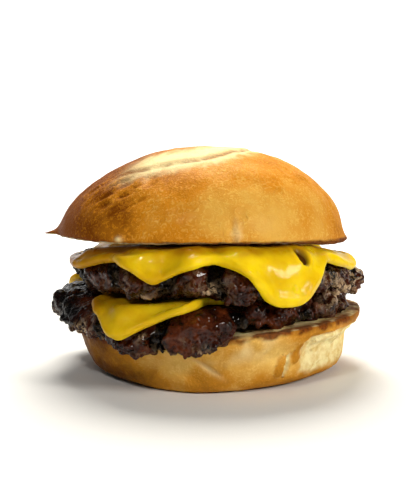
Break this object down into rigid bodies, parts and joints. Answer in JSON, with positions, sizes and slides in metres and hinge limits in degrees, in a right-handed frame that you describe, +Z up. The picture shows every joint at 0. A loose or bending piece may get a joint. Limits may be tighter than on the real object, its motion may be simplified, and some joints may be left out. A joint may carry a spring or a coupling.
{
  "type": "cheeseburger",
  "caption": "Cheeseburger with domed bun, craggy beef patties and melted cheese hanging over their edges, for resting on a table or a plate.",
  "frame": {"origin": "on the table under the middle of the patties, on the flat underside of the lower bun half", "axes": "+Z up through the stack, +X to the picture's right, -Y towards the camera"},
  "size_m": [0.1181, 0.1174, 0.0837],
  "materials": {
    "bun_heel": "baked crust, pale crumb where it is torn",
    "beef_lower": "seared, craggy and greasy",
    "cheese_lower": "melted, smooth",
    "beef_upper": "seared, craggy and greasy",
    "cheese_upper": "melted, smooth",
    "bun_crown": "baked crust, satin"
  },
  "bodies": {
    "root": {"heel": "bun_heel", "patty_lower": "beef_lower", "cheese_lower": "cheese_lower", "patty_upper": "beef_upper", "cheese_upper": "cheese_upper", "crown": "bun_crown"}
  },
  "joints": []
}
